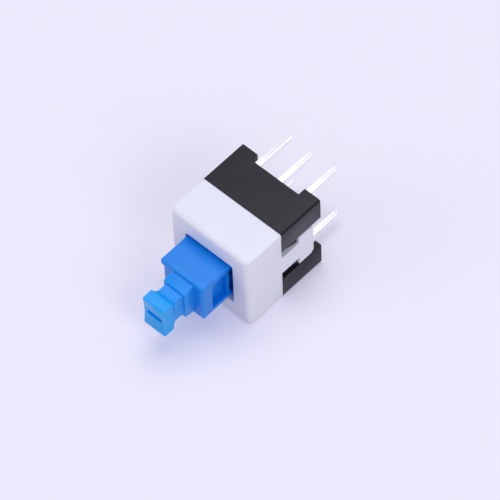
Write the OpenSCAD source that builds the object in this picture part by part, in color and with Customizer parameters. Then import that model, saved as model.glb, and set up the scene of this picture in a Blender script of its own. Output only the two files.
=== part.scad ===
// Latching pushbutton switch, 7 mm square, two rows of three solder pins.
// It lies on its side: X is the width, +Y runs out along the solder pins,
// -Y is the side the plunger comes out of, and Z is the height.
// The origin is the centre of the pin grid in the plane of the four feet.

/* [Body] */
// Width of the switch body
body_w = 7; // [6.3:0.1:8]
// Height of the switch body
body_h = 7; // [6.3:0.1:8]
// Visible length of the white housing, front face to parting line
shell_len = 3.3; // [3.1:0.05:4.2]
// Length of the black base, parting line to its rear face
base_len = 3.2; // [3.1:0.05:4.2]
// Thickness of the base's floor, which carries the terminals
floor_t = 1; // [0.9:0.05:1.2]
// Thickness of the housing's side walls
wall = 0.6; // [0.5:0.05:0.65]
// Thickness of the housing's front wall
front_wall = 0.7; // [0.5:0.05:0.8]
// Radius of the long edges of housing and base
long_r = 0.18; // [0.1:0.02:0.4]
// Radius of the housing's front edges
front_r = 0.45; // [0.15:0.05:0.5]

/* [Snap tabs] */
// Thickness of the two tabs that hold the housing on the base
tab_t = 0.5; // [0.4:0.02:0.52]
// Width of a tab's neck
tab_neck_w = 1.64; // [1.2:0.02:2]
// Width of a tab's head
tab_head_w = 2.94; // [2.6:0.02:3.3]
// Length of a tab's neck, from the parting line to the head
tab_neck_len = 1.65; // [1.4:0.05:1.8]
// Length of a tab's head
tab_head_len = 1.4; // [1:0.05:1.45]
// Size of the chamfer on a head's rear corners
tab_chamfer = 0.25; // [0.1:0.05:0.4]
// Side clearance between a tab and its slot
tab_gap = 0.09; // [0.04:0.01:0.15]
// Depth of a catch ramp below the side face, at the parting line
ramp_low = 0.45; // [0.4:0.01:0.5]
// Depth of a catch ramp below the side face, at its high end
ramp_high = 0.15; // [0.05:0.01:0.3]

/* [Feet] */
// Height of the feet that hold the body off the board
standoff = 0.6; // [0.3:0.05:1]
// Length of a foot along the top or bottom edge
foot_long = 1.4; // [1:0.05:2]
// Thickness of a foot along the top or bottom edge
foot_t = 0.62; // [0.4:0.02:0.7]

/* [Plunger] */
// Width of the plunger block
block_w = 3.56; // [3.4:0.02:3.7]
// Height of the plunger block
block_h = 3.36; // [3.1:0.02:3.5]
// How far the block stands out of the housing at rest
block_out = 2.52; // [2.2:0.02:3.5]
// Radius of the block's edges
block_r = 0.2; // [0.05:0.05:0.4]
// How far the guide rib along one top edge stands out of the block's side
rib_out = 0.26; // [0.1:0.02:0.28]
// Height of the guide rib
rib_h = 0.5; // [0.3:0.02:0.6]
// Clearance in the housing's opening beside the block
side_gap = 0.34; // [0.33:0.01:0.4]
// Clearance in the housing's opening above and below the block
mouth_gap = 0.34; // [0.15:0.01:0.4]
// Full travel of the plunger
travel = 2; // [1.8:0.05:2.1]
// Width of the cap key
key_w = 1.86; // [1.5:0.02:2.4]
// Height of the key's head
head_h = 2.8; // [2.4:0.02:3.1]
// Length of the key, from the block to its front end
key_len = 2.9; // [2.7:0.02:3.5]
// Thickness of the key's head at its edges
head_t = 0.84; // [0.6:0.02:0.9]
// Radius of the head's front edges
head_r = 0.22; // [0.1:0.02:0.3]
// Height of the key's collar, where it leaves the block
collar_h = 2.84; // [2.4:0.02:3]
// Length of the collar
collar_len = 0.84; // [0.6:0.02:0.9]
// Drop of the collar's top and bottom towards its front
collar_drop = 0.18; // [0.1:0.02:0.24]
// Height of the key's waist, at the bottom of the groove round it
waist_h = 2.08; // [1.8:0.04:2.2]
// Width of the key's waist
waist_w = 1.44; // [1.2:0.04:1.6]
// Radius of the groove on the head's side
notch_r = 0.6; // [0.4:0.02:0.66]
// Radius of the groove on the collar's side
heel_r = 0.12; // [0.06:0.02:0.2]
// Depth of the hollow across the key's front end
dish = 0.16; // [0.05:0.01:0.25]
// Width of the recess in the middle of the key's front end
recess_w = 1.3; // [1:0.05:1.5]
// Height of the recess in the key's front end
recess_h = 0.46; // [0.44:0.02:0.8]
// Depth of the recess below the hollow
recess_deep = 0.2; // [0.1:0.02:0.4]
// Radius of the key's side corners
key_r = 0.14; // [0.05:0.01:0.2]
// Distance from the block's front to its side pocket
pocket_back = 0.9; // [0.6:0.05:1.2]
// Depth of the side pocket
pocket_depth = 0.5; // [0.4:0.05:0.55]
// Thickness of the walls above and below the side pocket
pocket_wall = 0.42; // [0.2:0.02:0.46]
// Free space behind the plunger at full travel
over_travel = 0.1; // [0.05:0.01:0.2]

/* [Latch] */
// Diameter of the latch wire
wire_d = 0.4; // [0.3:0.02:0.42]
// Distance from the plunger's rear end to the wire's tip at rest
tip_back = 0.9; // [0.8:0.05:1]
// Sideways swing of the wire's tip over the full travel
swing = 1; // [0.8:0.02:1.02]
// Travel at which the tip clears the heart's horns
lock_at = 1.45; // [1.3:0.05:1.5]
// Clearance between the tip and the heart
lane_gap = 0.1; // [0.06:0.01:0.14]
// Thickness of the leaf that presses on the wire
leaf_t = 0.08; // [0.05:0.01:0.1]
// Width of the leaf
leaf_w = 1.4; // [1:0.1:1.8]

/* [Return spring] */
// Diameter of the spring wire
coil_wire = 0.2; // [0.14:0.01:0.22]
// Outside diameter of the spring
coil_od = 1.7; // [1.5:0.02:1.76]
// Number of turns
coil_turns = 10; // [7:1:12]
// Depth of the spring's bore inside the plunger
bore_depth = 3.8; // [3:0.1:4]

/* [Contacts] */
// Distance from a side face of the body to the outer pins' centres
pin_inset = 1.5; // [1.45:0.01:1.6]
// Distance from the top or bottom face to a row of pins
row_inset = 1; // [0.95:0.01:1.05]
// Width of a solder pin
pin_w = 0.38; // [0.26:0.01:0.5]
// Thickness of the terminal sheet
pin_t = 0.22; // [0.15:0.01:0.3]
// Length of a pin beyond the feet
pin_len = 3.4; // [2.5:0.1:4]
// Length of the taper at a pin's tip
tip_len = 0.5; // [0.2:0.05:0.8]
// Width of a contact blade
blade_w = 0.9; // [0.7:0.02:1]
// Distance from the plunger's rear end to the strips' contact line
touch_back = 1.1; // [1:0.05:1.2]
// Travel at which a strip leaves the break blade
break_at = 0.6; // [0.4:0.05:0.7]
// Travel at which a strip reaches the make blade
make_at = 0.9; // [0.75:0.05:1.1]
// Thickness of the moving contact strip
strip_t = 0.1; // [0.08:0.01:0.12]
// Width of a spring finger
finger_w = 0.36; // [0.3:0.02:0.44]
// Diameter of the studs that hold a strip
stud_d = 0.5; // [0.4:0.02:0.56]

/* [Clearances] */
// Gap between pieces that are pressed or snapped together
fit_gap = 0.02; // [0.01:0.005:0.03]
// Gap between pieces that slide or turn on each other
run_gap = 0.05; // [0.03:0.01:0.08]

/* [Hidden] */
$fn = 32;
past = 0.3; // how far a cut runs past the face that it opens
root = 0.1; // how far a part is sunk into the wall that carries it
// positions along the switch
y_back = -standoff;
y_part = y_back - base_len;
y_front = y_part - shell_len;
y_inner = y_front + front_wall;
y_floor = y_back - floor_t;
y_block = y_front - block_out;
y_key = y_block - key_len;
y_rear = y_floor - travel - over_travel;
y_flange = y_part - travel;
y_pocket = y_block + pocket_back;
y_head = y_key + head_t; // rear of the key's head
y_heel = y_block - collar_len; // front of its collar
recess_r = 0.2; // radius of the recess's corners
// half sizes across the switch
half_w = body_w / 2;
half_h = body_h / 2;
cell_x = half_w - wall;
cell_z = half_h - wall;
side_x = block_w / 2;
pocket_x = side_x - pocket_depth;
pocket_z = block_h / 2 - pocket_wall;
mouth_x = side_x + side_gap;
mouth_z = block_h / 2 + mouth_gap;
// contacts
pitch = half_w - pin_inset;
row_z = half_h - row_inset;
blade_in = row_z - pin_t / 2;
blade_out = row_z + pin_t / 2;
base_in = blade_in + fit_gap;
break_shift = 0.15; // sideways step of the break blade
wall_lead = 0.3; // free space between the housing's front wall and the contact walls
flange_z = blade_in - 0.2;
strip_rim = 0.18; // metal outside the outer fingers
slot_rim = 0.08; // free space beside a finger
wing_x = pitch + finger_w / 2 + strip_rim;
strip_z = block_h / 2 + fit_gap;
stud_head = 0.08;
stud_z = strip_z + strip_t + stud_head;
touch_y = y_rear - touch_back;
make_y = touch_y + make_at;
break_y = touch_y + break_at;
blade_y = y_inner + wall_lead;
y_shoulder = y_floor + floor_t / 2;
// heart and guide wall of the latch
horn_len = 0.12; // length of the heart's horns past its widest place
horn_taper = 0.04; // how much they narrow along that length
cup_deep = 0.16; // depth of the notch between them
guide_gap = 0.14; // free space between the tip and the guide wall
guide_t = 0.3; // thickness of the guide wall
guide_dip = 0.08; // depth of its two hollows
guide_tooth = 0.1; // height of the tooth between them
tail_wall = 0.3; // wall between the pocket's floor and the tail's end
// latch wire
wire_r = wire_d / 2;
wire_gap = 0.1; // free space on each side of the wire's arm
bend_r = wire_r + 0.05;
arm_x = side_x + wire_gap + wire_r;
pivot_y = y_back - floor_t / 2;
tip_y = y_rear - tip_back;
tip_x = pocket_x + run_gap + fit_gap;
arm_len = pivot_y - tip_y;
hole_x = side_x - 0.85; // closed end of the wire's bearing hole
cave_x = max(arm_x + wire_r + wire_gap, wing_x + run_gap);
wire_slot = wire_r + 0.2; // half height of the slot that the wire enters by
leaf_z = leaf_w / 2;
leaf_deep = 0.1; // depth of the leaf's seat in the side of the chamber
leaf_stop = 0.15; // wall between the leaf's seat and the floor
// snap slots
slot_deep = tab_t + 0.05;
slot_z = tab_head_w / 2 + tab_gap;
ear_in = tab_neck_w / 2 + tab_gap;
y_catch = y_part + tab_neck_len - run_gap;
// return spring
bore_r = coil_od / 2 + 0.1;
stud_r = coil_od / 2 - coil_wire - run_gap - 0.1;
spring_stud = 0.5; // length of the stud that centres the spring

// ---- profiles pushed along one axis ----

// an (X, Z) profile from y0 to y1
module along_y(y0, y1) {
    translate([0, y1, 0])
        rotate([90, 0, 0])
            linear_extrude(height = y1 - y0)
                children();
}

// a (Y, Z) profile from x0 to x1
module along_x(x0, x1) {
    translate([x0, 0, 0])
        rotate([90, 0, 90])
            linear_extrude(height = x1 - x0)
                children();
}

// an (X, Y) profile from z0 to z1
module along_z(z0, z1) {
    translate([0, 0, z0])
        linear_extrude(height = z1 - z0)
            children();
}

// rectangle between two corners
module span(x0, y0, x1, y1) {
    translate([x0, y0])
        square([x1 - x0, y1 - y0]);
}

// rectangle about the origin with round corners
module plate(w, h, r) {
    square([w - 2 * r, h], center = true);
    square([w, h - 2 * r], center = true);
    for (sx = [-1, 1], sy = [-1, 1])
        translate([sx * (w / 2 - r), sy * (h / 2 - r)])
            circle(r = r);
}

// rectangle from (x0, y0) to (x1, y1) whose two corners at y0 are round
module tongue(x0, y0, x1, y1, r) {
    span(x0 + r, y0, x1 - r, y1);
    span(x0, y0 + r, x1, y1);
    for (x = [x0 + r, x1 - r])
        translate([x, y0 + r])
            circle(r = r);
}

// the same shape turned so that its round corners are at the low end of Y
// in the (Y, Z) plane
module tongue_side(y0, y1, half, r) {
    mirror([1, -1, 0])
        tongue(-half, y0, half, y1, r);
}

// a block with round edges at its front end and round long edges
module soft_block(w, h, y0, y1, r_long, r_front) {
    intersection() {
        along_y(y0, y1)
            plate(w, h, r_long);
        along_x(-w, w)
            tongue_side(y0, y1, h / 2, r_front);
        along_z(-h, h)
            tongue(-w / 2, y0, w / 2, y1, r_front);
    }
}

// ---- housing: square cap moulded in white nylon, open at the rear ----

// outline of one snap tab in the (Y, Z) plane, a T lying on its side
module tab_outline() {
    y_neck = y_part + tab_neck_len;
    y_end = y_neck + tab_head_len;
    n = tab_neck_w / 2;
    h = tab_head_w / 2;
    c = tab_chamfer;
    polygon([[y_part - front_wall, -n], [y_neck, -n], [y_neck, -h], [y_end - c, -h],
        [y_end, c - h], [y_end, h - c], [y_end - c, h], [y_neck, h], [y_neck, n],
        [y_part - front_wall, n]]);
}

module housing() {
    color("lavender") {
        difference() {
            soft_block(body_w, body_h, y_front, y_part - fit_gap, long_r, front_r);
            along_y(y_inner, y_part)
                square([2 * cell_x, 2 * cell_z], center = true);
            along_y(y_front - past, y_inner + past)
                plate(2 * mouth_x, 2 * mouth_z, block_r);
        }
        for (s = [-1, 1])
            scale([s, 1, 1])
                along_x(half_w - tab_t, half_w)
                    tab_outline();
    }
}

// ---- base: black block with contact walls, feet and catch ramps ----

// terminal outline in the (X, Y) plane, grown by g; kind is -1, 0 or 1
module terminal_outline(kind, g) {
    x = kind * pitch;
    b = blade_w / 2 + g;
    p = pin_w / 2 + g;
    e = pin_w / 5;
    if (kind == -1) {
        // the break blade steps aside, so the finger runs off its wide front end
        xs = x - break_shift;
        span(xs - b, blade_y - g, xs + b, break_y + g);
        span(xs - b, blade_y, x - pin_w / 2 + g, y_shoulder + g);
        span(xs - b, y_floor - 2 * break_shift - g, xs + b, y_shoulder + g);
    }
    if (kind == 0)
        span(x - b, blade_y - g, x + b, y_shoulder + g);
    if (kind == 1)
        span(x - b, make_y - g, x + b, y_shoulder + g);
    polygon([[x + p, y_floor], [x + p, pin_len - tip_len], [x + e, pin_len],
        [x - e, pin_len], [x - p, pin_len - tip_len], [x - p, y_floor]]);
}

// one of the two moulded walls that carry the blades inside the housing
module contact_wall() {
    along_y(blade_y - 0.1, y_part + 0.1)
        span(-cell_x + fit_gap, base_in, cell_x - fit_gap, cell_z - fit_gap);
}

// one catch ramp: it rises towards the rear and drops off behind
module catch_ramp() {
    along_z(ear_in, slot_z + 0.05)
        polygon([[half_w - slot_deep - 0.1, y_part], [half_w - ramp_low, y_part],
            [half_w - ramp_high, y_catch - 0.1], [half_w - ramp_high, y_catch],
            [half_w - slot_deep - 0.1, y_catch]]);
}

module base() {
    color("dimgray")
        difference() {
            union() {
                difference() {
                    along_y(y_part, 0)
                        plate(body_w, body_h, long_r);
                    // the rear face lies between four L-shaped corner feet
                    along_y(y_back, 1) {
                        square([body_w - 2 * foot_long, body_h + 1], center = true);
                        square([body_w - 2 * slot_deep, body_h - 2 * foot_t], center = true);
                    }
                    // slots for the snap tabs, open at both ends
                    for (s = [-1, 1])
                        scale([s, 1, 1])
                            along_y(y_part - past, past)
                                span(half_w - slot_deep, -slot_z, half_w + past, slot_z);
                }
                for (s = [-1, 1], t = [-1, 1])
                    scale([s, 1, t])
                        catch_ramp();
                for (t = [-1, 1])
                    scale([1, 1, t])
                        contact_wall();
            }
            // chamber for the rear of the plunger
            along_y(y_front, y_floor)
                square([2 * cave_x, 2 * base_in], center = true);
            // seats for the six terminals
            for (t = [-1, 1], k = [-1, 0, 1])
                scale([1, 1, t])
                    along_z(blade_in - 0.1, blade_out + fit_gap)
                        terminal_outline(k, fit_gap);
            // slot and bearing hole for the latch wire
            along_y(y_floor - 0.1, pivot_y + wire_r + run_gap)
                span(arm_x - bend_r - wire_r - run_gap, -wire_slot, cave_x, wire_slot);
            translate([hole_x - run_gap, pivot_y, 0])
                rotate([0, 90, 0])
                    cylinder(r = wire_r + run_gap / 2, h = arm_x - hole_x);
            // seat for the leaf
            along_y(y_part + run_gap, y_floor - leaf_stop)
                span(cave_x - 0.1, -leaf_z - run_gap, cave_x + leaf_deep, leaf_z + run_gap);
        }
    // stud that centres the return spring
    color("dimgray")
        translate([0, y_floor + 0.1, 0])
            rotate([90, 0, 0])
                cylinder(r = stud_r, h = spring_stud + 0.1);
}

// ---- plunger: block and cap key in front, slider with a heart cam behind ----

// the groove round the cap key, cut down to height z in the (Y, Z) plane and open upwards
module groove_outline(z) {
    span(y_head + notch_r, z, y_heel - heel_r, head_h);
    span(y_head, z + notch_r, y_heel - heel_r, head_h);
    span(y_head + notch_r, z + heel_r, y_heel, head_h);
    translate([y_head + notch_r, z + notch_r])
        circle(r = notch_r);
    translate([y_heel - heel_r, z + heel_r])
        circle(r = heel_r);
}

// side view of the cap key in the (Y, Z) plane
module key_outline() {
    c = collar_h / 2;
    r_dish = head_h * head_h / (8 * dish) + dish / 2;
    difference() {
        union() {
            tongue_side(y_key, y_head + notch_r, head_h / 2, head_r);
            polygon([[y_head, -c + collar_drop], [y_heel, -c + collar_drop], [y_block, -c],
                [y_block + block_r, -c], [y_block + block_r, c], [y_block, c],
                [y_heel, c - collar_drop], [y_head, c - collar_drop]]);
        }
        for (t = [-1, 1])
            scale([1, t])
                groove_outline(waist_h / 2);
        translate([y_key + dish - r_dish, 0])
            circle(r = r_dish, $fn = 96);
    }
}

// the cap key seen from above, in the (X, Y) plane
module key_plan() {
    difference() {
        tongue(-key_w / 2, y_key, key_w / 2, y_rear, key_r);
        for (s = [-1, 1])
            scale([s, 1])
                mirror([1, -1])
                    groove_outline(waist_w / 2);
    }
}

// heart of the latch in the (Y, Z) plane; s runs forward from the tip's rest place
module heart_outline() {
    slope = swing / travel;
    side = (wire_r + lane_gap) * sqrt(1 + slope * slope);
    s0 = side / slope;
    z_horn = slope * lock_at - side;
    y_horn = tip_y - lock_at;
    polygon([[tip_y - s0, 0], [y_horn, -z_horn],
        [y_horn - horn_len, horn_taper - z_horn], [y_horn + cup_deep, 0],
        [y_horn - horn_len, z_horn - horn_taper], [y_horn, z_horn]]);
}

// wall ahead of the heart that turns the tip towards the notch
module guide_outline() {
    y0 = tip_y - travel - wire_r - guide_gap;
    z0 = pocket_z + root;
    polygon([[y0 - guide_t, -z0], [y0 - guide_t, z0], [y0, z0],
        [y0 - guide_dip, pocket_z * 0.6], [y0 + guide_tooth, guide_tooth],
        [y0 - guide_dip, -pocket_z / 2], [y0, -z0]]);
}

module plunger() {
    color("royalblue") {
        difference() {
            union() {
                soft_block(block_w, block_h, y_block, y_rear, block_r, block_r);
                // guide rib along the top edge on the side away from the latch
                translate([-rib_out / 2, 0, block_h / 2 - rib_h / 2])
                    soft_block(block_w + rib_out, rib_h, y_block, y_rear, block_r / 2, block_r);
                intersection() {
                    along_x(-key_w / 2, key_w / 2)
                        key_outline();
                    along_z(-head_h, head_h)
                        key_plan();
                }
                // flange that stops the plunger in the housing and on the base
                along_y(y_inner + fit_gap, y_flange - fit_gap)
                    plate(2 * (cell_x - run_gap), 2 * flange_z, 0.1);
                // wings that carry the contact strips
                for (t = [-1, 1])
                    scale([1, 1, t])
                        along_y(y_inner + fit_gap, y_rear)
                            span(-wing_x, pocket_z, wing_x, block_h / 2);
                // studs that hold the strips
                for (x = [-pitch / 2, pitch / 2])
                    translate([x, touch_y, -stud_z])
                        cylinder(d = stud_d, h = 2 * stud_z);
            }
            // recess in the key's front end
            along_y(y_key - past, y_key + dish + recess_deep)
                plate(recess_w, recess_h, recess_r);
            // side pocket, open through the flange
            along_z(-pocket_z, pocket_z)
                span(pocket_x, y_pocket, body_w, y_rear - tail_wall);
            along_z(-pocket_z, pocket_z)
                span(side_x - root, y_pocket, body_w, y_rear + past);
            // bore for the return spring
            translate([0, y_rear + past, 0])
                rotate([90, 0, 0])
                    cylinder(r = bore_r, h = bore_depth + past);
        }
        along_x(pocket_x - root, side_x - root)
            heart_outline();
        along_x(pocket_x - root, side_x - root)
            guide_outline();
    }
}

// ---- return spring: steel coil with closed end turns ----

// place of the coil's centre line after t turns
function coil_point(t, y0, y1) =
    let (
        shut = coil_wire * 1.06,
        free = (y1 - y0 - coil_wire - 2 * shut) / (coil_turns - 2),
        y = t < 1 ? t * shut
            : t > coil_turns - 1 ? shut + free * (coil_turns - 2) + (t - coil_turns + 1) * shut
            : shut + (t - 1) * free,
        r = (coil_od - coil_wire) / 2
    )
    [r * cos(360 * t), y0 + coil_wire / 2 + y, r * sin(360 * t)];

module return_spring() {
    y0 = y_rear - bore_depth + fit_gap;
    y1 = y_floor - fit_gap;
    steps = coil_turns * 18;
    sides = 8;
    ring = [for (i = [0:steps], j = [0:sides - 1])
        let (
            t = i / 18,
            c = coil_point(t, y0, y1),
            a = 360 * j / sides,
            o = [cos(360 * t), 0, sin(360 * t)]
        )
        c + coil_wire / 2 * (cos(a) * o + sin(a) * [0, 1, 0])];
    walls = [for (i = [0:steps - 1], j = [0:sides - 1])
        let (k = (j + 1) % sides)
        each [[i * sides + k, i * sides + j, (i + 1) * sides + j],
            [i * sides + k, (i + 1) * sides + j, (i + 1) * sides + k]]];
    start = [for (j = [1:sides - 2]) [0, j, j + 1]];
    end = [for (j = [1:sides - 2]) [steps * sides, steps * sides + j + 1, steps * sides + j]];
    color("silver")
        polyhedron(points = ring, faces = concat(walls, start, end));
}

// ---- latch: a bent wire that follows the heart, and the leaf that presses it ----

// quarter bend of the wire in the (X, Y) plane, centred at (x, y)
module wire_bend(x, y, turn) {
    translate([x, y, 0])
        rotate([0, 0, turn])
            rotate_extrude(angle = 90)
                translate([bend_r, 0])
                    circle(r = wire_r);
}

module latch_wire() {
    bend_x = arm_x - bend_r;
    color("gainsboro") {
        translate([arm_x, pivot_y - bend_r + 0.001, 0])
            rotate([90, 0, 0])
                cylinder(r = wire_r, h = arm_len - 2 * bend_r + 0.002);
        wire_bend(bend_x, pivot_y - bend_r, 0);
        wire_bend(bend_x, tip_y + bend_r, -90);
        translate([hole_x, pivot_y, 0])
            rotate([0, 90, 0])
                cylinder(r = wire_r, h = bend_x - hole_x + 0.001);
        translate([tip_x, tip_y, 0])
            rotate([0, 90, 0])
                cylinder(r = wire_r, h = bend_x - tip_x + 0.001);
    }
}

module latch_leaf() {
    x0 = cave_x + leaf_deep - fit_gap;
    x1 = arm_x + wire_r + fit_gap;
    ya = y_part + 2 * run_gap;
    yb = y_floor - leaf_stop - run_gap;
    ym = (ya + yb) / 2;
    color("gainsboro")
        along_z(-leaf_z, leaf_z)
            polygon([[x0, ya], [x1 + leaf_t, ym - 0.2], [x1 + leaf_t, ym + 0.2], [x0, yb],
                [x0 - leaf_t, yb], [x1, ym + 0.25], [x1, ym - 0.25], [x0 - leaf_t, ya]]);
}

// ---- moving contacts: one stamped strip with three fingers on each side ----

module contact_strip() {
    y0 = y_flange + run_gap;
    y1 = y_rear - run_gap;
    peak = blade_in - fit_gap;
    low = strip_z + strip_t / 2;
    crown = touch_back / 8;
    root = touch_back / 5;
    difference() {
        along_z(strip_z, strip_z + strip_t)
            span(-wing_x, y0, wing_x, y1);
        for (x = [-pitch, 0, pitch])
            along_z(0, half_h)
                span(x - finger_w / 2 - slot_rim, y0 + strip_rim, x + finger_w / 2 + slot_rim,
                    y1 - strip_rim);
        for (x = [-pitch / 2, pitch / 2])
            translate([x, touch_y, 0])
                cylinder(d = stud_d + 2 * fit_gap, h = half_h);
    }
    // each finger rises from the front rim to its crown and dips again behind
    for (x = [-pitch, 0, pitch])
        along_x(x - finger_w / 2, x + finger_w / 2)
            polygon([[y0 + root / 2, strip_z], [y0 + root, strip_z],
                [touch_y - crown, peak - strip_t], [touch_y + crown, peak - strip_t],
                [y1 - root - strip_t, low], [y1 - root, low],
                [touch_y + crown + strip_t / 2, peak], [touch_y - crown - strip_t / 2, peak],
                [y0 + root, strip_z + strip_t], [y0 + root / 2, strip_z + strip_t]]);
}

module contact_strip_top() {
    color("goldenrod")
        contact_strip();
}

module contact_strip_bottom() {
    color("goldenrod")
        scale([1, 1, -1])
            contact_strip();
}

// ---- terminals: flat stampings, blade inside and solder pin outside ----

module terminal(kind, side) {
    color("silver")
        scale([1, 1, side])
            along_z(blade_in, blade_out)
                terminal_outline(kind, 0);
}

housing();
base();
plunger();
return_spring();
latch_wire();
latch_leaf();
contact_strip_top();
contact_strip_bottom();
terminal(-1, 1);  // terminal_top_break
terminal(0, 1);  // terminal_top_common
terminal(1, 1);  // terminal_top_make
terminal(-1, -1);  // terminal_bottom_break
terminal(0, -1);  // terminal_bottom_common
terminal(1, -1);  // terminal_bottom_make
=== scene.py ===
import math

import bmesh
import bpy
from mathutils import Matrix, Vector


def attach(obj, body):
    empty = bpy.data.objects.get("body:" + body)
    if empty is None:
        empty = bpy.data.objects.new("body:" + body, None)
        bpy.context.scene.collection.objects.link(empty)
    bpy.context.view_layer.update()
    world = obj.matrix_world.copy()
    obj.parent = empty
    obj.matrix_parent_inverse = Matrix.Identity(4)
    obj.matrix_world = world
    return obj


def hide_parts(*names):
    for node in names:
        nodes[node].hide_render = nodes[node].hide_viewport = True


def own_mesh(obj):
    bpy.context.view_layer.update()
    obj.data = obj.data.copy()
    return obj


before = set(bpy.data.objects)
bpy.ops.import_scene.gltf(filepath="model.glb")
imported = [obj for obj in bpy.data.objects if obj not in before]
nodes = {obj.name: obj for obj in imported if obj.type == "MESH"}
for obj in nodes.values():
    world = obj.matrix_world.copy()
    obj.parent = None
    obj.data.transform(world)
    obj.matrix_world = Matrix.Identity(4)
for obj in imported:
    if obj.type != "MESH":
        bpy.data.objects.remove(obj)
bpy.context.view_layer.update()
MM = 0.001

# ---------------------------------------------------------------- camera
# A long lens looks down on the switch from its front right corner, steeply
# enough that the top, the front and the right side all show.
VIEW_AZIMUTH = 44.67
VIEW_ELEVATION = 54.57
VIEW_ROLL = -2.35
VIEW_DISTANCE = 330.7 * MM
VIEW_LENS = 360.0
SENSOR_WIDTH = 36.0
AIM = Vector((1.028, -4.273, 0.0)) * MM


def view_camera():
    """The scene's camera, placed from the angles and the point it is aimed at."""
    a = math.radians(VIEW_AZIMUTH)
    e = math.radians(VIEW_ELEVATION)
    look = Vector((-math.sin(a) * math.cos(e), math.cos(a) * math.cos(e), -math.sin(e)))
    turn = look.to_track_quat("-Z", "Y").to_matrix().to_4x4()
    turn = turn @ Matrix.Rotation(math.radians(VIEW_ROLL), 4, "Z")
    data = bpy.data.cameras.new("view_camera")
    data.lens = VIEW_LENS
    data.sensor_width = SENSOR_WIDTH
    data.clip_start = 0.01
    data.clip_end = 10.0
    camera = bpy.data.objects.new("view_camera", data)
    bpy.context.scene.collection.objects.link(camera)
    camera.matrix_world = Matrix.Translation(AIM - look * VIEW_DISTANCE) @ turn
    bpy.context.scene.camera = camera


view_camera()

# ------------------------------------------------------- table and light
# The switch lies on its side on a wide sheet of pale lilac paper in a pale
# room. A big soft lamp hangs above its back, a smaller one stands on the
# right, and a weak one at the front left.
TABLE_Z = -3.505 * MM
TABLE_HALF = 1.5
PAPER = (0.80, 0.77, 0.76, 1.0)
PAPER_GLOW = (0.145, 0.145, 0.255, 1.0)
ROOM = (0.84, 0.85, 1.0, 1.0)
ROOM_SEEN = (0.86, 0.84, 0.98, 1.0)
ROOM_LEVEL = 0.46
# each lamp's place, width, watts and colour
LAMPS = {
    "top_lamp": ((-0.075, 0.085, 0.45), 0.40, 0.82, (1.0, 0.985, 0.96)),
    "side_lamp": ((0.30, -0.08, 0.26), 0.20, 0.40, (0.93, 0.93, 1.0)),
    "front_lamp": ((-0.22, -0.34, 0.20), 0.20, 0.20, (0.99, 0.99, 1.0)),
}


def new_material(name):
    """A material with an empty node tree."""
    material = bpy.data.materials.new(name)
    material.use_nodes = True
    tree = material.node_tree
    tree.nodes.clear()
    return material, tree


def feed(tree, socket, value):
    """Links a socket's output into a socket, or sets the socket to a plain value."""
    if isinstance(value, bpy.types.NodeSocket):
        tree.links.new(value, socket)
    else:
        socket.default_value = value


def add(tree, kind, **inputs):
    """A node with its settings as attributes, and its inputs set or linked by name."""
    node = tree.nodes.new(kind)
    sockets = {name: value for name, value in inputs.items() if not hasattr(node, name)}
    for name, value in inputs.items():
        if name not in sockets:
            setattr(node, name, value)
    for name, value in sockets.items():
        feed(tree, node.inputs[name.replace("_", " ")], value)
    return node


def maths(tree, operation, *values):
    """The result of one Math node on numbers or sockets."""
    node = add(tree, "ShaderNodeMath", operation=operation)
    for socket, value in zip(node.inputs, values):
        feed(tree, socket, value)
    return node.outputs[0]


def seen_ray(tree):
    """1 for rays of the camera, of glossy reflections and of transmission."""
    path = tree.nodes.new("ShaderNodeLightPath")
    seen = maths(tree, "MAXIMUM", path.outputs["Is Camera Ray"], path.outputs["Is Glossy Ray"])
    return maths(tree, "MAXIMUM", seen, path.outputs["Is Transmission Ray"])


def paper_table():
    """The sheet of paper: it takes shadows, and shows as the bright backdrop."""
    material, tree = new_material("lilac_paper")
    shader = add(tree, "ShaderNodeBsdfPrincipled", Base_Color=PAPER, Roughness=0.9,
                 Specular_IOR_Level=0.1, Emission_Color=PAPER_GLOW,
                 Emission_Strength=seen_ray(tree))
    add(tree, "ShaderNodeOutputMaterial", Surface=shader.outputs[0])
    mesh = bpy.data.meshes.new("table")
    corners = [(x * TABLE_HALF, y * TABLE_HALF, TABLE_Z)
               for x, y in ((-1, -1), (1, -1), (1, 1), (-1, 1))]
    mesh.from_pydata(corners, [], [(0, 1, 2, 3)])
    mesh.materials.append(material)
    table = bpy.data.objects.new("table", mesh)
    bpy.context.scene.collection.objects.link(table)


def lamp(name, place, width, watts, colour):
    """A round soft lamp turned towards the switch."""
    data = bpy.data.lights.new(name, "AREA")
    data.shape = "DISK"
    data.size = width
    data.energy = watts
    data.color = colour
    obj = bpy.data.objects.new(name, data)
    bpy.context.scene.collection.objects.link(obj)
    place = Vector(place)
    turn = (AIM - place).to_track_quat("-Z", "Y").to_matrix().to_4x4()
    obj.matrix_world = Matrix.Translation(place) @ turn


def room_light():
    """The pale room: one level for the light it gives, another for how it shows."""
    world = bpy.data.worlds.new("room")
    bpy.context.scene.world = world
    world.use_nodes = True
    tree = world.node_tree
    tree.nodes.clear()
    lit = add(tree, "ShaderNodeBackground", Color=ROOM, Strength=ROOM_LEVEL)
    seen = add(tree, "ShaderNodeBackground", Color=ROOM_SEEN, Strength=1.0)
    mix = tree.nodes.new("ShaderNodeMixShader")
    tree.links.new(seen_ray(tree), mix.inputs[0])
    tree.links.new(lit.outputs[0], mix.inputs[1])
    tree.links.new(seen.outputs[0], mix.inputs[2])
    add(tree, "ShaderNodeOutputWorld", Surface=mix.outputs[0])


paper_table()
room_light()
for lamp_name, (place, width, watts, colour) in LAMPS.items():
    lamp(lamp_name, place, width, watts, colour)
bpy.context.scene.view_settings.view_transform = "Standard"

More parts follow.
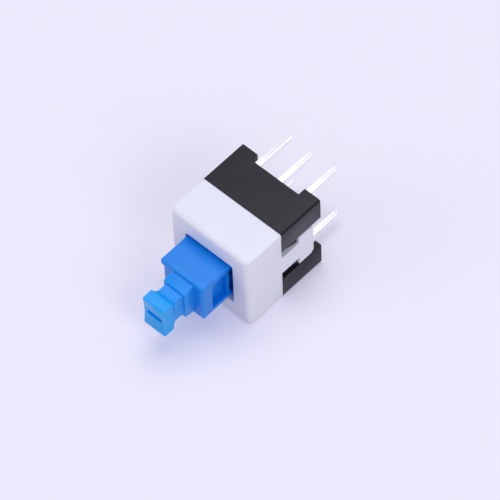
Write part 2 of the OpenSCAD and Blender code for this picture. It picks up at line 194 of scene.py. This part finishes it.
# ------------------------------------------------------------------ base
# The rear half of the body: a block moulded in black glass-filled nylon, with
# four corner feet, walls for the contact blades, and catch ramps for the
# housing's tabs. The terminals are pushed into it from behind.
BASE_EDGE = 0.035 * MM
CREASE = math.radians(41)
WELD = 0.0002 * MM
FLAT = math.radians(0.5)
GRAIN_DEPTH = 0.006 * MM
TO_MM = 1000.0
FLOW_STRETCH = (1.0, 0.35, 1.0)
CLOUDS_A_MM = 0.55
SPECKS_A_GRAIN = 0.45
SPECK_RIM = 0.22
SPECK_CORE = 0.06
FLOW_ROUGHENS = 0.25
SPECK_ROUGHENS = -0.08


def shader_group(name, inputs, outputs):
    """A node group with named sockets; returns it with its two end nodes."""
    tree = bpy.data.node_groups.new(name, "ShaderNodeTree")
    for label, kind in inputs:
        tree.interface.new_socket(label, in_out="INPUT", socket_type="NodeSocket" + kind)
    for label, kind in outputs:
        tree.interface.new_socket(label, in_out="OUTPUT", socket_type="NodeSocket" + kind)
    return tree, tree.nodes.new("NodeGroupInput"), tree.nodes.new("NodeGroupOutput")


def vector_maths(tree, operation, vector, by):
    """One Vector Math node: SCALE by a number, or MULTIPLY by a vector."""
    node = add(tree, "ShaderNodeVectorMath", operation=operation)
    tree.links.new(vector, node.inputs[0])
    feed(tree, node.inputs["Scale"] if operation == "SCALE" else node.inputs[1], by)
    return node.outputs[0]


def between(tree, amount, first, second):
    """The colour that lies between two colours by an amount from 0 to 1."""
    node = add(tree, "ShaderNodeMix", data_type="RGBA", Factor=amount)
    feed(tree, node.inputs[6], first)
    feed(tree, node.inputs[7], second)
    return node.outputs[2]


def mould_skin_group():
    """Moulded plastic: fine spark-eroded grain, slow flow clouds and stray specks."""
    tree, start, end = shader_group(
        "mould_skin",
        [("Place", "Vector"), ("Colour", "Color"), ("Grain Size", "Float"),
         ("Clouding", "Float"), ("Roughness", "Float"), ("Fleck", "Float")],
        [("Colour", "Color"), ("Roughness", "Float"), ("Height", "Float")])
    place = vector_maths(tree, "SCALE", start.outputs["Place"], TO_MM)
    per_mm = maths(tree, "DIVIDE", 1.0, start.outputs["Grain Size"])
    grain = add(tree, "ShaderNodeTexNoise", Vector=place, Scale=per_mm, Detail=2.0,
                Roughness=0.6)
    flow = vector_maths(tree, "MULTIPLY", place, FLOW_STRETCH)
    cloud = add(tree, "ShaderNodeTexNoise", Vector=flow, Scale=CLOUDS_A_MM, Detail=3.0,
                Roughness=0.55, Distortion=0.8)
    speck = add(tree, "ShaderNodeTexVoronoi", Vector=place,
                Scale=maths(tree, "MULTIPLY", per_mm, SPECKS_A_GRAIN), Randomness=1.0)
    spot = add(tree, "ShaderNodeMapRange", Value=speck.outputs["Distance"],
               From_Min=SPECK_RIM, From_Max=SPECK_CORE).outputs[0]
    swing = maths(tree, "SUBTRACT", cloud.outputs["Fac"], 0.5)
    shade = maths(tree, "MULTIPLY_ADD", swing, start.outputs["Clouding"], 1.0)
    lifted = maths(tree, "MULTIPLY_ADD", spot, start.outputs["Fleck"], shade)
    tint = vector_maths(tree, "SCALE", start.outputs["Colour"], lifted)
    uneven = maths(tree, "MULTIPLY_ADD", swing, FLOW_ROUGHENS, start.outputs["Roughness"])
    glossier = maths(tree, "MULTIPLY_ADD", spot, SPECK_ROUGHENS, uneven)
    tree.links.new(tint, end.inputs["Colour"])
    tree.links.new(glossier, end.inputs["Roughness"])
    tree.links.new(grain.outputs["Fac"], end.inputs["Height"])
    return tree


mould_skin = mould_skin_group()


def moulded_plastic(name, colour, grain, clouding, roughness, fleck, bump, specular,
                    glow=0.0, glow_reach=(1.0, 1.0, 1.0), glow_depth=0.3, painted_light_end=None):
    """A moulded plastic on the mould_skin group; glow is its share of light let through.

    The last argument is (colour, y_thick, y_thin): painted light, a paler colour blended in
    along Y towards the thin end, standing in for light shining through it.
    """
    material, tree = new_material(name)
    place = tree.nodes.new("ShaderNodeTexCoord").outputs["Object"]
    # Painted light: the colour pales along Y towards the thin end, as if lit through.
    if painted_light_end:
        painted_lit_colour, y_thick, y_thin = painted_light_end
        along = add(tree, "ShaderNodeSeparateXYZ", Vector=place)
        painted_light_fade = add(tree, "ShaderNodeMapRange", Value=along.outputs["Y"], From_Min=y_thick,
                   From_Max=y_thin)
        colour = between(tree, painted_light_fade.outputs[0], colour, painted_lit_colour)
    skin = add(tree, "ShaderNodeGroup", node_tree=mould_skin, Place=place, Colour=colour,
               Grain_Size=grain, Clouding=clouding, Roughness=roughness, Fleck=fleck)
    dents = add(tree, "ShaderNodeBump", Height=skin.outputs["Height"], Strength=bump,
                Distance=GRAIN_DEPTH)
    shader = add(tree, "ShaderNodeBsdfPrincipled", Base_Color=skin.outputs["Colour"],
                 Roughness=skin.outputs["Roughness"], Normal=dents.outputs[0],
                 Specular_IOR_Level=specular, Subsurface_Weight=glow,
                 Subsurface_Radius=glow_reach, Subsurface_Scale=glow_depth * MM)
    add(tree, "ShaderNodeOutputMaterial", Surface=shader.outputs[0])
    return material


def eased_copy(node, edge, material, segments=3):
    """A merged copy of a CAD node with whole flat faces and its hard edges rounded."""
    mesh = nodes[node].data.copy()
    shape = bmesh.new()
    shape.from_mesh(mesh)
    bmesh.ops.remove_doubles(shape, verts=shape.verts, dist=WELD)
    bmesh.ops.dissolve_limit(shape, angle_limit=FLAT, verts=shape.verts, edges=shape.edges)
    shape.to_mesh(mesh)
    shape.free()
    mesh.shade_smooth()
    mesh.set_sharp_from_angle(angle=CREASE)
    mesh.materials.clear()
    mesh.materials.append(material)
    piece = bpy.data.objects.new(node + "_piece", mesh)
    bpy.context.scene.collection.objects.link(piece)
    rounding = piece.modifiers.new("eased_edges", "BEVEL")
    rounding.width = edge
    rounding.segments = segments
    rounding.limit_method = "ANGLE"
    rounding.angle_limit = CREASE
    rounding.harden_normals = True
    return piece


black_nylon = moulded_plastic("black_nylon", (0.004, 0.004, 0.010, 1), grain=0.07,
                              clouding=0.5, roughness=0.32, fleck=0.6, bump=0.35,
                              specular=0.25)
base = eased_copy("base", BASE_EDGE, black_nylon)
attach(base, "switch_body")
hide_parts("base")

# ------------------------------------------------------------- terminals
# Six terminals stamped from brass sheet and tin plated: a wide blade inside,
# a shoulder that seats in the base's floor, and a slim solder pin with a
# coined tip. Both rows use the same three outlines.
PIN_PITCH = 2.0 * MM
PIN_ROW = 2.5 * MM
# the stampings' own sizes, in millimetres
PIN_HALF = 0.19
PIN_TIP = 0.076
PIN_END = 3.4
TAPER_START = 2.9
COINED_SHARE = 0.5
SHEET = 0.22
ROLLED_EDGE = 0.02
SHOULDER_Y = -1.1
BLADE_Y = -6.1
BLADE_HALF = 0.45
BREAK_LEFT = -0.6
BREAK_RIGHT = 0.3
BREAK_END_Y = -4.2
BREAK_FOOT_Y = -1.9
MAKE_START_Y = -3.9
STAMPED_CREASE = math.radians(50)
# the metals' skin
LINE_STRETCH = (TO_MM, 60.0, TO_MM)
LINE_DEPTH = 0.003 * MM
PATCHES_A_MM = 2.4
PATCH_RIM = 0.45
PATCH_CORE = 0.75
PATCH_ROUGHENS = 0.25
LINE_ROUGHENS = 0.2


def metal_lines_group():
    """Plated metal: fine lines along the sheet's rolling or drawing, and dull patches."""
    tree, start, end = shader_group(
        "metal_lines",
        [("Place", "Vector"), ("Colour", "Color"), ("Tarnish", "Color"),
         ("Line Width", "Float"), ("Dulling", "Float"), ("Roughness", "Float")],
        [("Colour", "Color"), ("Roughness", "Float"), ("Height", "Float")])
    along = vector_maths(tree, "MULTIPLY", start.outputs["Place"], LINE_STRETCH)
    per_mm = maths(tree, "DIVIDE", 1.0, start.outputs["Line Width"])
    lines = add(tree, "ShaderNodeTexNoise", Vector=along, Scale=per_mm, Detail=2.0)
    place = vector_maths(tree, "SCALE", start.outputs["Place"], TO_MM)
    patch = add(tree, "ShaderNodeTexNoise", Vector=place, Scale=PATCHES_A_MM, Detail=4.0,
                Roughness=0.65)
    worn = add(tree, "ShaderNodeMapRange", Value=patch.outputs["Fac"], From_Min=PATCH_RIM,
               From_Max=PATCH_CORE)
    amount = maths(tree, "MULTIPLY", worn.outputs[0], start.outputs["Dulling"])
    tint = between(tree, amount, start.outputs["Colour"], start.outputs["Tarnish"])
    rough = maths(tree, "MULTIPLY_ADD", amount, PATCH_ROUGHENS, start.outputs["Roughness"])
    streak = maths(tree, "SUBTRACT", lines.outputs["Fac"], 0.5)
    tree.links.new(tint, end.inputs["Colour"])
    streaky = maths(tree, "MULTIPLY_ADD", streak, LINE_ROUGHENS, rough)
    tree.links.new(streaky, end.inputs["Roughness"])
    tree.links.new(lines.outputs["Fac"], end.inputs["Height"])
    return tree


metal_lines = metal_lines_group()


def plated_metal(name, colour, tarnish, line, dulling, roughness, bump):
    """A drawn or rolled metal on the metal_lines group."""
    material, tree = new_material(name)
    place = tree.nodes.new("ShaderNodeTexCoord").outputs["Object"]
    skin = add(tree, "ShaderNodeGroup", node_tree=metal_lines, Place=place, Colour=colour,
               Tarnish=tarnish, Line_Width=line, Dulling=dulling, Roughness=roughness)
    scores = add(tree, "ShaderNodeBump", Height=skin.outputs["Height"], Strength=bump,
                 Distance=LINE_DEPTH)
    shader = add(tree, "ShaderNodeBsdfPrincipled", Base_Color=skin.outputs["Colour"],
                 Roughness=skin.outputs["Roughness"], Normal=scores.outputs[0], Metallic=1.0)
    add(tree, "ShaderNodeOutputMaterial", Surface=shader.outputs[0])
    return material


def geometry_tree(name, inputs):
    """A geometry node tree with named inputs; returns it with its input node."""
    tree = bpy.data.node_groups.new(name, "GeometryNodeTree")
    tree.interface.new_socket("Geometry", in_out="OUTPUT", socket_type="NodeSocketGeometry")
    for label, kind in inputs:
        tree.interface.new_socket(label, in_out="INPUT", socket_type="NodeSocket" + kind)
    return tree, tree.nodes.new("NodeGroupInput")


def finish_tree(tree, geometry, material):
    """Realize Instances and Set Material, then the tree's output."""
    real = add(tree, "GeometryNodeRealizeInstances", Geometry=geometry)
    coat = add(tree, "GeometryNodeSetMaterial", Geometry=real.outputs[0], Material=material)
    end = tree.nodes.new("NodeGroupOutput")
    tree.links.new(coat.outputs[0], end.inputs[0])


def grown_piece(name, tree, values):
    """A plain mesh object made by a geometry node tree with the given named inputs."""
    piece = bpy.data.objects.new(name, bpy.data.meshes.new(name))
    modifier = piece.modifiers.new("grow", "NODES")
    modifier.node_group = tree
    for socket in tree.interface.items_tree:
        if socket.item_type == "SOCKET" and socket.in_out == "INPUT":
            modifier[socket.identifier] = values[socket.name]
    bpy.context.scene.collection.objects.link(piece)
    grown = piece.evaluated_get(bpy.context.evaluated_depsgraph_get())
    mesh = bpy.data.meshes.new_from_object(grown)
    piece.modifiers.clear()
    piece.data = mesh
    return piece


def stamped_outline(name, points):
    """A flat stamping in the (X, Y) plane, from millimetres, with rolled edges."""
    shape = bmesh.new()
    half = SHEET / 2
    low = [shape.verts.new((x, y, -half)) for x, y in points]
    high = [shape.verts.new((x, y, half)) for x, y in points]
    shape.faces.new(list(reversed(low)))
    shape.faces.new(high)
    for i in range(len(points)):
        j = (i + 1) % len(points)
        shape.faces.new((low[i], low[j], high[j], high[i]))
    for vert in shape.verts:
        if vert.co.y > TAPER_START + (PIN_END - TAPER_START) / 2:
            vert.co.z *= COINED_SHARE
    bmesh.ops.bevel(shape, geom=list(shape.edges), offset=ROLLED_EDGE, segments=2,
                    profile=0.5, affect="EDGES", clamp_overlap=True)
    bmesh.ops.scale(shape, vec=(MM, MM, MM), verts=shape.verts)
    bmesh.ops.recalc_face_normals(shape, faces=shape.faces)
    mesh = bpy.data.meshes.new(name)
    shape.to_mesh(mesh)
    shape.free()
    mesh.shade_smooth()
    mesh.set_sharp_from_angle(angle=STAMPED_CREASE)
    return bpy.data.objects.new(name, mesh)


def terminal_points(left, right, front):
    """One terminal's outline: blade from left to right, then the pin and its taper."""
    return [(left, front), (right, front), (right, SHOULDER_Y), (PIN_HALF, SHOULDER_Y),
            (PIN_HALF, TAPER_START), (PIN_TIP, PIN_END), (-PIN_TIP, PIN_END),
            (-PIN_HALF, TAPER_START), (-PIN_HALF, SHOULDER_Y), (left, SHOULDER_Y)]


def terminal_rows_tree(material):
    """Three outlines set out on the pitch, and that row repeated in the other row."""
    tree, start = geometry_tree("terminal_rows", [
        ("Break Outline", "Object"), ("Common Outline", "Object"), ("Make Outline", "Object"),
        ("Pitch", "Float"), ("Row Height", "Float")])
    row = tree.nodes.new("GeometryNodeJoinGeometry")
    for k, label in enumerate(("Break Outline", "Common Outline", "Make Outline")):
        shape = add(tree, "GeometryNodeObjectInfo", Object=start.outputs[label],
                    As_Instance=True)
        slide = tree.nodes.new("ShaderNodeCombineXYZ")
        tree.links.new(maths(tree, "MULTIPLY", start.outputs["Pitch"], k - 1.0),
                       slide.inputs["X"])
        moved = add(tree, "GeometryNodeTransform", Geometry=shape.outputs["Geometry"],
                    Translation=slide.outputs[0])
        tree.links.new(moved.outputs[0], row.inputs[0])
    lift = tree.nodes.new("ShaderNodeCombineXYZ")
    tree.links.new(maths(tree, "MULTIPLY", start.outputs["Row Height"], 2.0), lift.inputs["Z"])
    foot = tree.nodes.new("ShaderNodeCombineXYZ")
    tree.links.new(maths(tree, "MULTIPLY", start.outputs["Row Height"], -1.0),
                   foot.inputs["Z"])
    rows = add(tree, "GeometryNodeMeshLine", Count=2, Start_Location=foot.outputs[0],
               Offset=lift.outputs[0])
    spread = add(tree, "GeometryNodeInstanceOnPoints", Points=rows.outputs[0],
                 Instance=row.outputs[0])
    finish_tree(tree, spread.outputs[0], material)
    return tree


tinned_brass = plated_metal("tinned_brass", (0.93, 0.92, 0.93, 1), (0.84, 0.83, 0.82, 1),
                            line=0.05, dulling=0.35, roughness=0.26, bump=0.2)
break_points = terminal_points(BREAK_LEFT, BREAK_RIGHT, BLADE_Y)
break_points[2:2] = [(BREAK_RIGHT, BREAK_END_Y), (-PIN_HALF, BREAK_END_Y),
                     (-PIN_HALF, BREAK_FOOT_Y), (BREAK_RIGHT, BREAK_FOOT_Y)]
outlines = [
    stamped_outline("break_outline", break_points),
    stamped_outline("common_outline", terminal_points(-BLADE_HALF, BLADE_HALF, BLADE_Y)),
    stamped_outline("make_outline", terminal_points(-BLADE_HALF, BLADE_HALF, MAKE_START_Y)),
]
terminals = grown_piece("terminals", terminal_rows_tree(tinned_brass), {
    "Break Outline": outlines[0], "Common Outline": outlines[1], "Make Outline": outlines[2],
    "Pitch": PIN_PITCH, "Row Height": PIN_ROW})
for outline in outlines:
    bpy.data.objects.remove(outline)
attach(terminals, "switch_body")
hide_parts("terminal_top_break", "terminal_top_common", "terminal_top_make",
            "terminal_bottom_break", "terminal_bottom_common", "terminal_bottom_make")

# --------------------------------------------------------- return spring
# A coil of round spring steel wire with one closed turn at each end. It sits in the plunger's
# bore and stands on the base's floor. The real spring shortens by a third when the plunger is
# pressed home; this coil is built at one length and stays so.
COIL_WIRE = 0.2 * MM
COIL_OUTSIDE = 1.7 * MM
COIL_TURNS = 10.0
COIL_FRONT = -7.48 * MM
COIL_BACK = -1.62 * MM
STEPS_A_TURN = 40
WIRE_SIDES = 12
CLOSED_PITCH = 1.06  # of a closed turn, in wire diameters


def coil_tree(material):
    """A helix along Y: closed turns at both ends and an even pitch between them."""
    tree, start = geometry_tree("coil", [
        ("Wire Diameter", "Float"), ("Outside Diameter", "Float"), ("Turns", "Float"),
        ("Front End", "Float"), ("Back End", "Float")])
    wire = start.outputs["Wire Diameter"]
    turns = start.outputs["Turns"]
    count = maths(tree, "MULTIPLY_ADD", turns, float(STEPS_A_TURN), 1.0)
    line = tree.nodes.new("GeometryNodeMeshLine")
    tree.links.new(count, line.inputs["Count"])
    index = tree.nodes.new("GeometryNodeInputIndex").outputs[0]
    turn = maths(tree, "DIVIDE", index, float(STEPS_A_TURN))
    angle = maths(tree, "MULTIPLY", turn, 2 * math.pi)
    across = maths(tree, "SUBTRACT", start.outputs["Outside Diameter"], wire)
    radius = maths(tree, "MULTIPLY", across, 0.5)
    shut = maths(tree, "MULTIPLY", wire, CLOSED_PITCH)
    length = maths(tree, "SUBTRACT", start.outputs["Back End"], start.outputs["Front End"])
    ends = maths(tree, "MULTIPLY_ADD", shut, 2.0, wire)
    open_turns = maths(tree, "SUBTRACT", turns, 2.0)
    pitch = maths(tree, "DIVIDE", maths(tree, "SUBTRACT", length, ends), open_turns)
    first = maths(tree, "MINIMUM", turn, 1.0)
    after = maths(tree, "MAXIMUM", maths(tree, "SUBTRACT", turn, 1.0), 0.0)
    middle = maths(tree, "MINIMUM", after, open_turns)
    last = maths(tree, "MAXIMUM", maths(tree, "SUBTRACT", after, open_turns), 0.0)
    closed = maths(tree, "MULTIPLY", maths(tree, "ADD", first, last), shut)
    along = maths(tree, "MULTIPLY_ADD", middle, pitch, closed)
    seat = maths(tree, "MULTIPLY_ADD", wire, 0.5, start.outputs["Front End"])
    spot = tree.nodes.new("ShaderNodeCombineXYZ")
    tree.links.new(maths(tree, "MULTIPLY", maths(tree, "COSINE", angle), radius),
                   spot.inputs["X"])
    tree.links.new(maths(tree, "ADD", along, seat), spot.inputs["Y"])
    tree.links.new(maths(tree, "MULTIPLY", maths(tree, "SINE", angle), radius),
                   spot.inputs["Z"])
    wound = add(tree, "GeometryNodeSetPosition", Geometry=line.outputs[0],
                Position=spot.outputs[0])
    curve = add(tree, "GeometryNodeMeshToCurve", Mesh=wound.outputs[0])
    section = add(tree, "GeometryNodeCurvePrimitiveCircle", Resolution=WIRE_SIDES,
                  Radius=maths(tree, "MULTIPLY", wire, 0.5))
    tube = add(tree, "GeometryNodeCurveToMesh", Curve=curve.outputs[0],
               Profile_Curve=section.outputs[0], Fill_Caps=True)
    smooth = add(tree, "GeometryNodeSetShadeSmooth", Geometry=tube.outputs[0])
    finish_tree(tree, smooth.outputs[0], material)
    return tree


spring_steel = plated_metal("spring_steel", (0.56, 0.56, 0.58, 1), (0.38, 0.36, 0.34, 1),
                            line=0.03, dulling=0.4, roughness=0.28, bump=0.4)
spring = grown_piece("spring_coil", coil_tree(spring_steel), {
    "Wire Diameter": COIL_WIRE, "Outside Diameter": COIL_OUTSIDE, "Turns": COIL_TURNS,
    "Front End": COIL_FRONT, "Back End": COIL_BACK})
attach(spring, "switch_body")
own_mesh(spring)
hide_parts("return_spring")

# ----------------------------------------------------------------- latch
# A bent steel wire hangs in a hole through the base's floor; its free tip
# runs round the heart in the plunger's side pocket. A thin steel leaf in the
# chamber's side wall keeps the tip pressed into the pocket.
LATCH_WIRE_EDGE = 0.02 * MM
LEAF_EDGE = 0.01 * MM
latch_wire = eased_copy("latch_wire", LATCH_WIRE_EDGE, spring_steel)
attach(latch_wire, "latch_body")
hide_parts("latch_wire")
latch_leaf = eased_copy("latch_leaf", LEAF_EDGE, spring_steel, segments=2)
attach(latch_leaf, "switch_body")
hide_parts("latch_leaf")

# -------------------------------------------------------- contact strips
# One strip of silver plated bronze on the top and one on the bottom of the
# plunger's tail, held by two staked studs, each with three sprung fingers
# that wipe along the terminals' blades.
STRIP_EDGE = 0.01 * MM
contact_bronze = plated_metal("contact_bronze", (0.80, 0.76, 0.68, 1), (0.56, 0.44, 0.30, 1),
                              line=0.04, dulling=0.7, roughness=0.26, bump=0.4)
for strip_node in ("contact_strip_top", "contact_strip_bottom"):
    strip = eased_copy(strip_node, STRIP_EDGE, contact_bronze, segments=2)
    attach(strip, "plunger_body")
    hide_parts(strip_node)

# --------------------------------------------------------------- plunger
# One moulding in blue acetal: a square block with a side pocket for the latch
# behind, and in front a slim key with a groove all round it and a hollowed,
# recessed end, over which a button cap is pushed.
PLUNGER_EDGE = 0.07 * MM
BLOCK_BLUE = (0.003, 0.25, 0.82, 1)
# The paler blue below is painted light: the colour pales along Y from the block to the key's
# end, standing in for light shining through the thin key.
KEY_BLUE_PAINTED_LIGHT = (0.003, 0.40, 1.0, 1)
PAINTED_LIGHT_FROM_Y = -9.0 * MM
PAINTED_LIGHT_TO_Y = -12.0 * MM
blue_acetal = moulded_plastic("blue_acetal", BLOCK_BLUE, grain=0.05,
                              clouding=0.12, roughness=0.32, fleck=0.0, bump=0.25,
                              specular=0.32, glow=0.5, glow_reach=(0.05, 0.7, 1.0),
                              glow_depth=0.4,
                              painted_light_end=(KEY_BLUE_PAINTED_LIGHT, PAINTED_LIGHT_FROM_Y, PAINTED_LIGHT_TO_Y))
plunger = eased_copy("plunger", PLUNGER_EDGE, blue_acetal)
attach(plunger, "plunger_body")
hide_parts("plunger")

# --------------------------------------------------------------- housing
# The front half of the body: a square cap moulded in white nylon, with soft
# edges, an opening for the plunger, and on each side a T-shaped tab that
# springs over the base's catch ramps and holds the two halves together.
HOUSING_EDGE = 0.04 * MM
white_nylon = moulded_plastic("white_nylon", (0.87, 0.87, 1.0, 1), grain=0.06,
                              clouding=0.05, roughness=0.42, fleck=0.0, bump=0.2,
                              specular=0.4, glow=0.3, glow_reach=(1.0, 0.95, 0.95),
                              glow_depth=0.5)
housing = eased_copy("housing", HOUSING_EDGE, white_nylon)
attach(housing, "switch_body")
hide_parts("housing")
